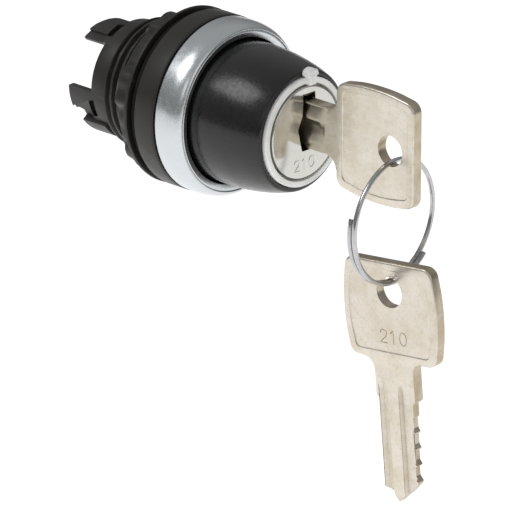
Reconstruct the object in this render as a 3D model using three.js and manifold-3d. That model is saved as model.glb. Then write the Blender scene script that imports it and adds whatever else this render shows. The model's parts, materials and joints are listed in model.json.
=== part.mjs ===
// Key-operated selector switch head for a 22.3 mm panel hole, with a key in the lock
// and a spare key on a split ring. Millimetres, +Z up. The switch axis runs along Y:
// the operator stands at -Y, the panel's front face is the plane y = 0, and the nut and
// the contact-block claws are behind it at +Y. Zero angle is 12 o'clock (+Z).

import * as THREE from 'three';
import { mergeVertices } from 'three/addons/utils/BufferGeometryUtils.js';
import Module from 'manifold-3d';

const wasm = await Module();
wasm.setup();

// ---------------------------------------------------------------- driving dimensions

const TOUCH = 0.3;            // gap left between pieces that rest on each other
const ROUND = 40;             // facets round the large turned pieces
const SMALL = 24;             // facets round the small ones

const housing = {
  flangeRadius: 14.85, flangeFront: -5.5, flangeRear: -1.3,
  seatRadius: 13.0, wellRadius: 12.6, seatFront: -8.7, wellFloor: -6.4,
  tubeRadius: 10.95, tubeRear: 9.5, neckRadius: 9.25, neckRear: 10.35,
  collarRadius: 9.75, collarRear: 13.55, boreRadius: 8.5, shoulder: -4.2, shoulderRadius: 9.6,
  clawInner: 8.6, clawRear: 18.7, lugRadius: 10.3, lugRear: 17.1,
};
const bezel = { radius: 14.75, lipRadius: 12.26, crestRadius: 13.45, front: -11.07, roll: 2.2 };
const gasket = { outer: 14.2, inner: 11.3 };
const washer = { outer: 14.9, inner: 11.3, front: 0.35, thickness: 0.65 };
const nut = {
  front: 1.3, rear: 4.7, bore: 11.3, rootRadius: 13.1,
  lobes: 6, firstLobe: -13, lobeRadius: 13.95, lobeTop: 10, lobeFoot: 17,
  crownRear: 5.4, crownRadius: 12.35,
};

const detent = { offset: 11.1, pocket: 1.25, ball: 1.0, ballY: -6.3, floor: -2.0 };

const cone = { rear: -7.6, front: -24.5, rimRadius: 10.04, ringSeat: 9.35, wall: 1.3 };
const indexRing = { outer: 9.2, inner: 8.2, front: -25.4, flangeInner: 7.2, rear: -23.0 };
const pointer = { centre: 0.95, stem: 1.7, head: 3.0, front: -26.5, top: 10.9 };

const barrel = { outer: 8.0, inner: 7.05, front: -22.7, flange: 9.3, flangeFront: -6.1, rear: -4.5 };
const plug = {
  faceRadius: 7.76, face: -25.5, headRear: -23.6, radius: 6.9, rear: -5.0,
  tailRadius: 4.2, tailRear: 0.5, grooveRadius: 3.6, square: 5.0,
};
const wafer = { count: 5, first: -20.6, pitch: 2.5, thickness: 0.8, sweep: 6.6 };
const spindle = { radius: 5.6, front: -2.3, socketRear: 0.9, shaft: 2.6, rear: 13.4 };
const cam = { front: 1.2, low: 2.8, inner: 2.9, outer: 7.8 };
const stroke = { lift: 3.0, turn: Math.PI / 2 };
const pusher = { front: 6.3, rear: 7.5, inner: 3.0, outer: 8.0, footRear: 16.0 };
const cover = { front: 12.9, rear: 13.6, radius: 8.2, screwOffset: 6.0 };

const key = {
  thickness: 2.15, hole: 2.6, bowEnd: -5.1, bowFront: 11.6, bowHalf: 9.65, bowCorner: 8.7,
  shoulderEnd: 18.0, shoulderHalf: 4.0, tip: 36.0, edge: 3.5, corner: 1.9,
};
const keyPlane = { x: 0.85, y: -43.9, z: 1.5 };      // the hole's centre in the key in the lock
const ring = { radius: 10.25, wire: 0.425, turns: 1.42, gap: 0.1, pivot: -0.35, yaw: 3.5, start: 136 };
const spare = { drop: 1.8, lean: 5.3 };              // hole below the wire, lean out of plumb

const finishes = {
  blackPlastic: { color: 0x34322f, roughness: 0.55, metalness: 0.0 },
  blackGloss: { color: 0x151515, roughness: 0.3, metalness: 0.0 },
  rubber: { color: 0x1c1a18, roughness: 0.8, metalness: 0.0 },
  satinChrome: { color: 0xd2d4d6, roughness: 0.3, metalness: 1.0 },
  whitePlastic: { color: 0xe3e5e2, roughness: 0.4, metalness: 0.0 },
  nickel: { color: 0xd9d4c8, roughness: 0.22, metalness: 1.0 },
  steel: { color: 0xc9c7c2, roughness: 0.25, metalness: 1.0 },
  brass: { color: 0xc9a45c, roughness: 0.35, metalness: 1.0 },
  naturalPlastic: { color: 0xcfcabc, roughness: 0.5, metalness: 0.0 },
};

// ---------------------------------------------------------------------------- solids

const radians = THREE.MathUtils.degToRad;

// A closed three.js geometry as a manifold solid, faces turned outward.
function solid(source) {
  const bare = source.clone();
  for (const name of Object.keys(bare.attributes)) {
    if (name !== 'position') bare.deleteAttribute(name);
  }
  const merged = mergeVertices(bare, 1e-4);
  const at = merged.attributes.position;
  const index = merged.index.array;
  const faces = [];
  let volume = 0;
  const [a, b, c] = [new THREE.Vector3(), new THREE.Vector3(), new THREE.Vector3()];
  for (let i = 0; i < index.length; i += 3) {
    const [p, q, r] = index.slice(i, i + 3);
    if (p === q || q === r || r === p) continue;
    faces.push([p, q, r]);
    a.fromBufferAttribute(at, p);
    b.fromBufferAttribute(at, q);
    c.fromBufferAttribute(at, r);
    volume += a.dot(b.cross(c));
  }
  const outward = faces.map(([p, q, r]) => (volume < 0 ? [p, r, q] : [p, q, r]));
  return new wasm.Manifold(new wasm.Mesh({
    numProp: 3,
    vertProperties: new Float32Array(at.array),
    triVerts: new Uint32Array(outward.flat()),
  }));
}

function geometryOf(body) {
  const { numProp, vertProperties, triVerts } = body.getMesh();
  const points = [];
  for (let i = 0; i < vertProperties.length; i += numProp) {
    points.push(...vertProperties.slice(i, i + 3));
  }
  const geometry = new THREE.BufferGeometry();
  geometry.setAttribute('position', new THREE.BufferAttribute(new Float32Array(points), 3));
  geometry.setIndex(Array.from(triVerts));
  geometry.computeVertexNormals();
  return geometry;
}

const join = (...bodies) => bodies.reduce((sum, body) => sum.add(body));
const cut = (body, ...tools) => tools.reduce((rest, tool) => rest.subtract(tool), body);

// A profile of [radius, y] points turned round the switch axis.
function turned(profile, facets = ROUND) {
  const points = profile.map(([r, y]) => new THREE.Vector2(r, y));
  const onAxis = profile[0][0] === 0 && profile.at(-1)[0] === 0;
  if (!onAxis) points.push(points[0].clone());
  return solid(new THREE.LatheGeometry(points, facets));
}

const tube = (outer, inner, front, rear, facets = ROUND) =>
  turned([[inner, front], [outer, front], [outer, rear], [inner, rear]], facets);

const disc = (radius, front, rear, facets = SMALL) =>
  turned([[0, front], [radius, front], [radius, rear], [0, rear]], facets);

function box([x0, x1], [y0, y1], [z0, z1]) {
  const shape = new THREE.BoxGeometry(x1 - x0, y1 - y0, z1 - z0);
  shape.translate((x0 + x1) / 2, (y0 + y1) / 2, (z0 + z1) / 2);
  return solid(shape);
}

// An outline in the XZ plane extruded from y = front to y = rear.
function slab(shape, front, rear, curveSegments = 8) {
  const geometry = new THREE.ExtrudeGeometry(shape, {
    depth: rear - front, bevelEnabled: false, curveSegments,
  });
  geometry.rotateX(Math.PI / 2);
  geometry.translate(0, rear, 0);
  return solid(geometry);
}

// A pie slice round the axis: angles in degrees from +Z towards +X.
function slice(from, to, radius, front, rear) {
  const shape = new THREE.Shape();
  shape.moveTo(0, 0);
  const steps = Math.ceil((to - from) / 15);
  for (let i = 0; i <= steps; i += 1) {
    const angle = radians(from + (to - from) * i / steps);
    shape.lineTo(radius * Math.sin(angle), radius * Math.cos(angle));
  }
  return slab(shape, front, rear);
}

class Helix extends THREE.Curve {
  constructor(radius, length, turns, start = 0) {
    super();
    Object.assign(this, { radius, length, turns, start });
  }

  getPoint(t) {
    const angle = this.start + 2 * Math.PI * this.turns * t;
    const { radius, length } = this;
    return new THREE.Vector3(radius * Math.sin(angle), length * (t - 0.5), radius * Math.cos(angle));
  }
}

// A round wire wound on the Y axis, its middle at the origin.
function coil(radius, wire, length, turns, sides = 6, stepsPerTurn = 12, start = 0) {
  const section = new THREE.Shape();
  for (let i = 0; i < sides; i += 1) {
    const angle = 2 * Math.PI * i / sides;
    section[i ? 'lineTo' : 'moveTo'](wire * Math.cos(angle), wire * Math.sin(angle));
  }
  return new THREE.ExtrudeGeometry(section, {
    steps: Math.round(turns * stepsPerTurn), bevelEnabled: false,
    extrudePath: new Helix(radius, length, turns, start),
  });
}

// ---------------------------------------------------------------------- fixed pieces

// The rear collar's wall runs on rearward as claws. Each outline is unrolled, as
// [degrees from +Z towards +X, y], and stands twice, half a turn apart.
const finClaw = [
  [-40.5, 12], [-40.5, 18.7], [-29, 18.35], [-17.5, 17.7], [-5.7, 16.5], [-4, 15.7], [-4, 12],
];
const hookClaw = [
  [-91.5, 12], [-91.5, 18.7], [-120.5, 18.7], [-118.5, 17.8], [-120.5, 17.2], [-128.5, 17.1], [-128.5, 12],
];
const stopLug = [[-128, 12], [-128, 17.1], [-163, 17.1], [-163, 12]];
const window = [[-8, 13.1], [-27, 13.1], [-30, 14.3], [-11, 14.3]];

const moved = (outline, turn) => outline.map(([angle, y]) => [angle + turn, y]);

// A solid with an unrolled outline, standing from one radius to another.
function wrapped(outline, inner, outer) {
  const flat = outline.map(([angle, y]) => new THREE.Vector2(angle, y));
  const cap = THREE.ShapeUtils.triangulateShape(flat, []);
  const count = outline.length;
  const positions = [inner, outer].flatMap((radius) => outline.flatMap(([angle, y]) =>
    [radius * Math.sin(radians(angle)), y, radius * Math.cos(radians(angle))]));
  const index = [];
  for (const [a, b, c] of cap) index.push(c, b, a, a + count, b + count, c + count);
  const turn = Math.sign(THREE.ShapeUtils.area(flat));
  for (let i = 0; i < count; i += 1) {
    const j = (i + 1) % count;
    const [p, q] = turn > 0 ? [i, j] : [j, i];
    index.push(p, q, q + count, p, q + count, p + count);
  }
  const geometry = new THREE.BufferGeometry();
  geometry.setAttribute('position', new THREE.Float32BufferAttribute(positions, 3));
  geometry.setIndex(index);
  return solid(geometry);
}

function claws() {
  const { clawInner, collarRadius, lugRadius, clawRear, lugRear } = housing;
  const wall = tube(collarRadius, clawInner, 12, clawRear);
  const lugWall = tube(lugRadius, clawInner, 12, lugRear);
  const pairs = [0, 180].flatMap((turn) => [finClaw, hookClaw]
    .map((claw) => wall.intersect(wrapped(moved(claw, turn), 6, 14))));
  return [...pairs, lugWall.intersect(wrapped(stopLug, 6, 14))];
}

const clawWindows = () => [-4, 176, -91.5, 88.5]
  .map((edge) => wrapped(moved(window, edge), 6, 14));

function bodyTube() {
  const h = housing;
  const shell = turned([
    [h.boreRadius, h.collarRear], [h.boreRadius, h.shoulder], [h.shoulderRadius, h.shoulder],
    [h.shoulderRadius, h.wellFloor], [h.wellRadius, h.wellFloor], [h.wellRadius, h.seatFront],
    [h.seatRadius, h.seatFront], [h.seatRadius, h.flangeFront], [h.flangeRadius, h.flangeFront],
    [h.flangeRadius, h.flangeRear], [h.tubeRadius, h.flangeRear], [h.tubeRadius, h.tubeRear],
    [h.neckRadius, h.tubeRear], [h.neckRadius, h.neckRear], [h.collarRadius, h.neckRear],
    [h.collarRadius, h.collarRear],
  ]);
  const pockets = [-1, 1].map((side) => disc(detent.pocket, h.wellFloor - 1, detent.floor)
    .translate([side * detent.offset, 0, 0]));
  return cut(join(shell, ...claws()), ...clawWindows(), ...pockets);
}

function bezelRing() {
  const b = bezel;
  const rear = housing.flangeFront - TOUCH;
  const rollStart = b.front + 0.22 + b.roll;
  const roll = [0, 30, 60, 90].map((turn) => {
    const angle = radians(turn);
    const inward = (b.radius - b.crestRadius) * (1 - Math.cos(angle));
    return [b.radius - inward, rollStart - b.roll * Math.sin(angle)];
  });
  const seat = housing.seatRadius + TOUCH;
  const ledge = housing.seatFront - TOUCH;
  return turned([
    [seat, rear], [b.radius, rear], ...roll, [b.crestRadius - 0.15, b.front],
    [b.lipRadius, b.front], [b.lipRadius, ledge], [seat, ledge],
  ]);
}

const panelGasket = () => tube(gasket.outer, gasket.inner, housing.flangeRear + TOUCH, 0);

const rotorSeal = () => tube(housing.wellRadius - 0.1, 12.0, -8.3, -7.2);

function lockBarrel() {
  const b = barrel;
  return turned([
    [b.inner, b.front], [b.outer, b.front], [b.outer, b.flangeFront], [b.flange, b.flangeFront],
    [b.flange, b.rear], [b.inner, b.rear],
  ]);
}

const detentBall = (side) => solid(new THREE.SphereGeometry(detent.ball, 12, 8))
  .translate([side * detent.offset, detent.ballY, 0]);

function detentSpring(side) {
  const front = detent.ballY + detent.ball + 0.1;
  const length = detent.floor - front - 0.5;
  return solid(coil(0.75, 0.16, length, 4, 5, 8))
    .translate([side * detent.offset, front + 0.25 + length / 2, 0]);
}

// Windows for the pusher's two feet, a bearing for the shaft and two screw holes.
function rearCover() {
  const plate = disc(cover.radius, cover.front, cover.rear, ROUND);
  const bearing = disc(spindle.shaft + 0.15, cover.front - 1, cover.rear + 1);
  const windows = [0, 180].map((turn) => foot(turn, cover.front - 1, cover.rear + 1, 0.35));
  const screws = [-1, 1].map((side) => disc(0.8, cover.front - 1, cover.rear + 1, 16)
    .translate([side * cover.screwOffset, 0, 0]));
  return cut(plate, bearing, ...windows, ...screws);
}

function coverScrew(side) {
  const head = disc(1.35, cover.rear + 0.1, cover.rear + 1.0, 16);
  const shank = disc(0.65, cover.front - 2.4, cover.rear + 0.3, 12);
  const slot = box([-2, 2], [cover.rear + 0.6, cover.rear + 2], [-0.18, 0.18]);
  return cut(join(head, shank), slot).translate([side * cover.screwOffset, 0, 0]);
}

// ------------------------------------------------------------------- clamping pieces

const clampWasher = () =>
  tube(washer.outer, washer.inner, washer.front, washer.front + washer.thickness);

function nutOutline(root) {
  const outline = new THREE.Shape();
  const pitch = 360 / nut.lobes;
  const steps = nut.lobes * 14;
  for (let i = 0; i < steps; i += 1) {
    const offset = ((i + 0.5) / 14 % 1 - 0.5) * pitch;
    const wave = 1 - THREE.MathUtils.smoothstep(Math.abs(offset), nut.lobeTop, nut.lobeFoot);
    const radius = root + (nut.lobeRadius - root) * wave;
    const angle = radians(nut.firstLobe + 360 * (i + 0.5) / steps - pitch / 2);
    outline[i ? 'lineTo' : 'moveTo'](radius * Math.sin(angle), radius * Math.cos(angle));
  }
  return outline;
}
function clampNut() {
  const rim = slab(nutOutline(nut.rootRadius), nut.front, nut.rear);
  const crown = slab(nutOutline(nut.crownRadius - 0.05), nut.front, nut.crownRear);
  return cut(
    rim.add(crown),
    disc(nut.bore, 0, nut.crownRear + 1, ROUND),
    disc(nut.crownRadius, nut.rear, nut.crownRear + 1, 80),
  );
}

// ------------------------------------------------------------------- turning pieces

function selectorCone() {
  const c = cone;
  const outside = [
    [11.75, c.rear], [11.85, -11.1], [11.95, -13.5], [11.85, -16.0], [11.5, -19.0],
    [11.0, -21.9], [10.5, -23.8], [c.rimRadius + 0.15, c.front - 0.1], [c.rimRadius - 0.2, c.front - 0.3],
  ];
  return turned([
    ...outside, [c.ringSeat, c.front - 0.3], [c.ringSeat, indexRing.rear + TOUCH],
    [barrel.outer + TOUCH, indexRing.rear + TOUCH], [barrel.outer + TOUCH, -21.2],
    [9.4, -20.2], [11.75 - c.wall, c.rear],
  ]);
}

// A raised tab on the ring, its wider head lying over the cone's front edge.
function indexRingWithPointer() {
  const r = indexRing;
  const band = turned([
    [r.inner, r.front], [r.outer, r.front], [r.outer, r.rear], [r.flangeInner, r.rear],
    [r.flangeInner, plug.headRear + TOUCH], [r.inner, plug.headRear + TOUCH],
  ]);
  const p = pointer;
  const tab = new THREE.Shape();
  tab.moveTo(p.centre - p.stem / 2, r.inner - 0.05);
  tab.lineTo(p.centre + p.stem / 2, r.inner - 0.05);
  tab.lineTo(p.centre + p.stem / 2, r.outer + 0.1);
  tab.lineTo(p.centre + p.head / 2, p.top - 0.7);
  tab.absarc(p.centre, p.top - 0.9, p.head / 2, 0.15, Math.PI - 0.15);
  tab.lineTo(p.centre - p.head / 2, p.top - 0.7);
  tab.lineTo(p.centre - p.stem / 2, r.outer + 0.1);
  const clearOfCone = cone.front - TOUCH - 0.1;
  const head = slab(tab, p.front, clearOfCone, 6);
  return join(band, head);
}

const waferY = (i) => wafer.first + wafer.pitch * i;
const slotHalf = key.thickness / 2 + TOUCH;

// The plug turns in the barrel. Its keyway is cut off-centre, beside the axis.
function lockPlug() {
  const p = plug;
  const body = turned([
    [0, p.face], [p.faceRadius - 0.25, p.face], [p.faceRadius, p.face + 0.25],
    [p.faceRadius, p.headRear], [p.radius, p.headRear], [p.radius, p.rear], [p.tailRadius, p.rear],
    [p.tailRadius, -3.5], [p.grooveRadius, -3.5], [p.grooveRadius, -2.6], [0, -2.6],
  ]);
  const end = box([-p.square / 2, p.square / 2], [-3.0, p.tailRear], [-p.square / 2, p.square / 2])
    .intersect(disc(3.3, -3.1, 1));
  const mouth = box([keyPlane.x - slotHalf, keyPlane.x + slotHalf], [p.face - 1, p.headRear],
    [-3.2, 6.3]);
  const keyway = box([keyPlane.x - slotHalf, keyPlane.x + slotHalf], [p.face - 1, -7.4],
    [keyPlane.z - key.edge - 0.35, keyPlane.z + key.edge + 0.35]);
  const slots = [];
  for (let i = 0; i < wafer.count; i += 1) {
    const y = waferY(i);
    const half = wafer.thickness / 2 + TOUCH;
    slots.push(box([-1.9, 2.95 + TOUCH], [y - half, y + half], [-8, 8]));
    slots.push(box([2.6, 5.0], [y - 0.95, y + 0.95], [-4.2, 2.6]));
  }
  return cut(join(body, end), mouth, keyway, ...slots);
}

// A thin plate with a window for the blade and a lug that its spring pushes.
function waferPlate(i) {
  const y = waferY(i);
  const across = [y - wafer.thickness / 2, y + wafer.thickness / 2];
  const plate = join(box([-1.6, 2.95], across, [-7, 7]), box([2.8, 4.7], across, [0.6, 2.3]));
  const window = box([keyPlane.x - slotHalf, keyPlane.x + slotHalf], [y - 1, y + 1], [-2.6, 5.6]);
  return cut(plate, window).intersect(disc(wafer.sweep, y - 1, y + 1, ROUND));
}

function waferSpring(i) {
  const shape = coil(0.55, 0.13, 3.6, 4, 5, 8);
  shape.rotateX(Math.PI / 2);
  return solid(shape).translate([4.0, waferY(i), -1.8]);
}

const thrustWasher = () => tube(8.1, plug.tailRadius + 0.3, barrel.rear + TOUCH, -3.75, SMALL);

function plugClip() {
  const circlip = tube(6.0, plug.grooveRadius + TOUCH, -3.35, -2.75, SMALL);
  return cut(circlip, slice(150, 210, 9, -4, -2));
}

function driveSpindle() {
  const s = spindle;
  const hub = disc(s.radius, s.front, s.socketRear);
  const half = plug.square / 2 + TOUCH;
  const socket = box([-half, half], [s.front - 1, plug.tailRear + TOUCH - 0.2], [-half, half]);
  return cut(join(hub, disc(s.shaft, s.socketRear - 0.2, s.rear)), socket);
}

// Two ramps of one turn's lift each, facing the pusher's teeth at 0 and 180 degrees.
function faceCam() {
  const shape = new THREE.LatheGeometry([
    [cam.inner, cam.front], [cam.outer, cam.front], [cam.outer, cam.low], [cam.inner, cam.low],
    [cam.inner, cam.front],
  ].map(([r, y]) => new THREE.Vector2(r, y)), 48);
  const at = shape.attributes.position;
  for (let i = 0; i < at.count; i += 1) {
    if (at.getY(i) < cam.low - 0.1) continue;
    const angle = Math.atan2(at.getX(i), at.getZ(i));
    const behind = (Math.PI + radians(10) - angle) % Math.PI;
    const ramp = THREE.MathUtils.clamp(behind - radians(10), 0, stroke.turn + radians(10));
    const falls = behind > stroke.turn + radians(25);
    at.setY(i, cam.low + (falls ? 0 : stroke.lift * ramp / stroke.turn));
  }
  return solid(shape);
}

// ------------------------------------------------------------------- sliding pieces

// A foot of the pusher, or with a margin the window that it passes through.
function foot(turn, front, rear, margin = 0) {
  const ringPart = tube(pusher.outer - 0.3 + margin, 5.6 - margin, front, rear);
  const spread = 20 + 3 * margin;
  return ringPart.intersect(slice(turn - spread, turn + spread, 20, front, rear));
}

function pusherCrown() {
  const p = pusher;
  const crown = tube(p.outer, p.inner, p.front, p.rear);
  const toothTip = cam.low + TOUCH + 0.25;
  const teeth = [0, 180].map((turn) => tube(7.4, 5.2, toothTip, p.front + 0.2)
    .intersect(slice(turn - 6, turn + 6, 12, toothTip, p.front + 0.2)));
  const feet = [0, 180].map((turn) => foot(turn, p.rear - 0.2, p.footRear));
  return join(crown, ...teeth, ...feet);
}

function returnSpring() {
  const room = cover.front - pusher.rear;
  return solid(coil(4.3, 0.3, room - 2 * 0.3 - 0.6, 3, 6, 14))
    .translate([0, pusher.rear + room / 2, 0]);
}

// ------------------------------------------------------------------------------ keys

// A flat key in its own plane: u runs from the bow to the tip, v to the cut edge.
function keyOutline() {
  const k = key;
  const s = new THREE.Shape();
  const round = k.corner;
  s.moveTo(k.bowEnd + round, -k.bowCorner - 0.2);
  s.quadraticCurveTo((k.bowEnd + k.bowFront) / 2, -2 * k.bowHalf + k.bowCorner, k.bowFront - round, -k.bowCorner);
  s.quadraticCurveTo(k.bowFront, -k.bowCorner, k.bowFront, -k.bowCorner + round);
  s.lineTo(k.bowFront + 0.4, -k.shoulderHalf - 0.6);
  s.quadraticCurveTo(k.bowFront + 0.5, -k.shoulderHalf, k.bowFront + 1.2, -k.shoulderHalf);
  s.lineTo(k.shoulderEnd, -k.shoulderHalf);
  s.lineTo(k.shoulderEnd, -k.edge);
  s.lineTo(k.tip - 2.4, -k.edge);
  s.lineTo(k.tip - 1.3, -1.6);
  s.lineTo(k.tip, -0.7);
  s.lineTo(k.tip - 4.0, k.edge);
  const cuts = [[30.4, 2.2], [27.6, 2.6], [24.8, 2.9], [22.0, 3.0]];
  for (const [u, v] of cuts) {
    s.lineTo(u + 0.9, v + 0.9 * (k.edge - v));
    s.quadraticCurveTo(u, 2 * v - k.edge + 0.3, u - 0.9, v + 0.9 * (k.edge - v));
  }
  s.lineTo(k.shoulderEnd, k.edge);
  s.lineTo(k.shoulderEnd, k.shoulderHalf);
  s.lineTo(k.bowFront + 1.2, k.shoulderHalf);
  s.quadraticCurveTo(k.bowFront + 0.5, k.shoulderHalf, k.bowFront + 0.4, k.shoulderHalf + 0.6);
  s.lineTo(k.bowFront, k.bowCorner - round);
  s.quadraticCurveTo(k.bowFront, k.bowCorner, k.bowFront - round, k.bowCorner);
  s.quadraticCurveTo((k.bowEnd + k.bowFront) / 2, 2 * k.bowHalf - k.bowCorner, k.bowEnd + round, k.bowCorner - 0.2);
  s.quadraticCurveTo(k.bowEnd, k.bowCorner - 0.2, k.bowEnd, k.bowCorner - round);
  s.lineTo(k.bowEnd, -k.bowCorner + round);
  s.quadraticCurveTo(k.bowEnd, -k.bowCorner - 0.2, k.bowEnd + round, -k.bowCorner - 0.2);
  return s;
}

// The key about its hole's centre: u along +Y, v along +Z, its thickness along X.
function keyBlank() {
  const half = key.thickness / 2;
  const plate = new THREE.ExtrudeGeometry(keyOutline(), {
    depth: key.thickness, bevelEnabled: false, curveSegments: 4,
  });
  plate.translate(0, 0, -half);
  const hole = new THREE.CylinderGeometry(key.hole, key.hole, 2 * key.thickness, SMALL);
  hole.rotateX(Math.PI / 2);
  const grooves = [
    [-1, key.shoulderEnd - 4.6, [1.4, 3.0]], [-1, key.shoulderEnd - 4.4, [-1.3, 0.9]],
    [1, key.shoulderEnd - 5.0, [-2.9, -1.2]], [1, key.shoulderEnd - 3.4, [1.2, 4.2]],
  ].map(([face, start, across]) => box([start, key.tip + 1], across,
    face < 0 ? [-half - 1, -half + 0.55] : [half - 0.55, half + 1]));
  const flat = cut(solid(plate), solid(hole), ...grooves);
  return flat.transform([0, 1, 0, 0, 0, 0, 1, 0, 1, 0, 0, 0, 0, 0, 0, 1]);
}

const keyInLock = () => keyBlank().translate([keyPlane.x, keyPlane.y, keyPlane.z]);

// The ring hangs from the first key's hole and carries the spare key at its lowest point.
const ringCentre = { x: keyPlane.x, y: keyPlane.y, z: ring.pivot - ring.radius };

function splitRing() {
  const pitch = 2 * ring.wire + ring.gap;
  const shape = coil(ring.radius, ring.wire, pitch * ring.turns, ring.turns, 8, 40, radians(ring.start));
  shape.rotateZ(radians(ring.yaw));
  return solid(shape).translate([ringCentre.x, ringCentre.y, ringCentre.z]);
}

// Turned over and hung tip down, its cut edge towards the operator.
function spareKey() {
  const hanging = keyBlank().rotate([0, 0, 180]).rotate([90, 0, 0]).rotate([-spare.lean, 0, 0]);
  const z = ringCentre.z - ring.radius - spare.drop;
  return hanging.rotate([0, 0, ring.yaw]).translate([ringCentre.x, ringCentre.y, z]);
}

// -------------------------------------------------------------------------- assembly

const materials = Object.fromEntries(Object.entries(finishes)
  .map(([name, look]) => [name, new THREE.MeshStandardMaterial(look)]));

function piece(name, body, finish) {
  const mesh = new THREE.Mesh(geometryOf(body), materials[finish]);
  mesh.name = name;
  return mesh;
}

const head = new THREE.Group();
head.add(
  piece('body_tube', bodyTube(), 'blackPlastic'),
  piece('bezel_ring', bezelRing(), 'satinChrome'),
  piece('panel_gasket', panelGasket(), 'rubber'),
  piece('rotor_seal', rotorSeal(), 'rubber'),
  piece('lock_barrel', lockBarrel(), 'brass'),
  piece('detent_ball_left', detentBall(-1), 'steel'),
  piece('detent_ball_right', detentBall(1), 'steel'),
  piece('detent_spring_left', detentSpring(-1), 'steel'),
  piece('detent_spring_right', detentSpring(1), 'steel'),
  piece('rear_cover', rearCover(), 'naturalPlastic'),
  piece('cover_screw_left', coverScrew(-1), 'steel'),
  piece('cover_screw_right', coverScrew(1), 'steel'),
);

const clamp = new THREE.Group();
clamp.add(
  piece('clamp_washer', clampWasher(), 'blackPlastic'),
  piece('clamp_nut', clampNut(), 'blackPlastic'),
);

const rotor = new THREE.Group();
rotor.add(
  piece('selector_cone', selectorCone(), 'blackGloss'),
  piece('index_ring', indexRingWithPointer(), 'whitePlastic'),
  piece('lock_plug', lockPlug(), 'nickel'),
  piece('thrust_washer', thrustWasher(), 'steel'),
  piece('plug_clip', plugClip(), 'steel'),
  piece('drive_spindle', driveSpindle(), 'naturalPlastic'),
  piece('face_cam', faceCam(), 'naturalPlastic'),
);
for (let i = 0; i < wafer.count; i += 1) {
  rotor.add(
    piece(`wafer_${i + 1}`, waferPlate(i), 'brass'),
    piece(`wafer_spring_${i + 1}`, waferSpring(i), 'steel'),
  );
}

const drive = new THREE.Group();
drive.add(
  piece('pusher', pusherCrown(), 'naturalPlastic'),
  piece('return_spring', returnSpring(), 'steel'),
);

const keys = new THREE.Group();
keys.add(
  piece('key_in_lock', keyInLock(), 'nickel'),
  piece('split_ring', splitRing(), 'steel'),
  piece('spare_key', spareKey(), 'nickel'),
);

const selectorKeySwitch = new THREE.Group();
selectorKeySwitch.add(head, clamp, rotor, drive, keys);

export default selectorKeySwitch;
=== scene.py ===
"""The looks of a key-operated selector switch head with its keys.

Sizes are in millimetres in the frame's axes: +Z up, the switch axis along Y, the operator
at -Y. Angles round the axis are in degrees from +Z towards +X.
"""

import json
import math

import bmesh
import bpy
from mathutils import Matrix, Vector


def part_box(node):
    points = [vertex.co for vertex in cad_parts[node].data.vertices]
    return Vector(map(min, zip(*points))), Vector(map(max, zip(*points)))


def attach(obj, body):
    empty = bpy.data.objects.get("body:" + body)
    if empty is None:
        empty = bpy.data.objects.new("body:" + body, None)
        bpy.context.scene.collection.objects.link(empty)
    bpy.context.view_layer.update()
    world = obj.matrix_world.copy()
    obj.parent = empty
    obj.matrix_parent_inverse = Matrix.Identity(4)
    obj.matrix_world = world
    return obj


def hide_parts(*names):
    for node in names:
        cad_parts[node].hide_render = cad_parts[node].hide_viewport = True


MM = 0.001
FACETS = 180

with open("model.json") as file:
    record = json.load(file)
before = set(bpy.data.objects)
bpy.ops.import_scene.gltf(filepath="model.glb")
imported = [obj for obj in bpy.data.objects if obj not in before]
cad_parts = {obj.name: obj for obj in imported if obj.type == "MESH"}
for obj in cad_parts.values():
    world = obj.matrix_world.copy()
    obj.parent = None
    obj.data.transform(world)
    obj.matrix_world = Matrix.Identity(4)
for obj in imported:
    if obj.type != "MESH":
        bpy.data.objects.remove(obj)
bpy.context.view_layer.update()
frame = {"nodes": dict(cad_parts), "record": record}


# ------------------------------------------------------------------------------ frame


def corners(node):
    """Lowest and highest corners of a CAD node, in millimetres."""
    low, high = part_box(node)
    return [c / MM for c in low], [c / MM for c in high]


def radius_of(node):
    """Half the width of a node that is turned round the switch axis."""
    low, high = corners(node)
    return (high[0] - low[0]) / 2


def along(node):
    """Front and rear of a node along the switch axis."""
    low, high = corners(node)
    return low[1], high[1]


# ----------------------------------------------------------------------------- meshes


def new_object(name, mesh):
    piece = bpy.data.objects.new(name, mesh)
    bpy.context.scene.collection.objects.link(piece)
    return piece


def from_faces(name, points, faces):
    """An object in millimetres from points and faces, its faces turned outward."""
    mesh = bpy.data.meshes.new(name)
    mesh.from_pydata([Vector(p) for p in points], [], faces)
    mesh.update()
    tidy = bmesh.new()
    tidy.from_mesh(mesh)
    bmesh.ops.remove_doubles(tidy, verts=tidy.verts, dist=1e-4)
    bmesh.ops.recalc_face_normals(tidy, faces=tidy.faces)
    tidy.to_mesh(mesh)
    tidy.free()
    return new_object(name, mesh)


def rounded(profile, steps=5):
    """A closed outline of (x, y, fillet) points with arcs in place of its corners."""
    out = []
    for i, (x, y, fillet) in enumerate(profile):
        here = Vector((x, y))
        if not fillet:
            out.append((x, y))
            continue
        before = Vector(profile[i - 1][:2]) - here
        after = Vector(profile[(i + 1) % len(profile)][:2]) - here
        angle = before.angle(after)
        reach = min(fillet / math.tan(angle / 2), before.length * 0.49, after.length * 0.49)
        radius = reach * math.tan(angle / 2)
        centre = here + (before.normalized() + after.normalized()).normalized() * (
            radius / math.sin(angle / 2))
        start = here + before.normalized() * reach - centre
        end = here + after.normalized() * reach - centre
        swing = start.angle_signed(end)
        for step in range(steps + 1):
            turn = Matrix.Rotation(-swing * step / steps, 2)
            out.append(tuple(centre + turn @ start))
    return out


def round_axis(radius, y, angle):
    """A point at that radius, place along the axis and angle in degrees."""
    turn = math.radians(angle)
    return radius * math.sin(turn), y, radius * math.cos(turn)


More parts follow.
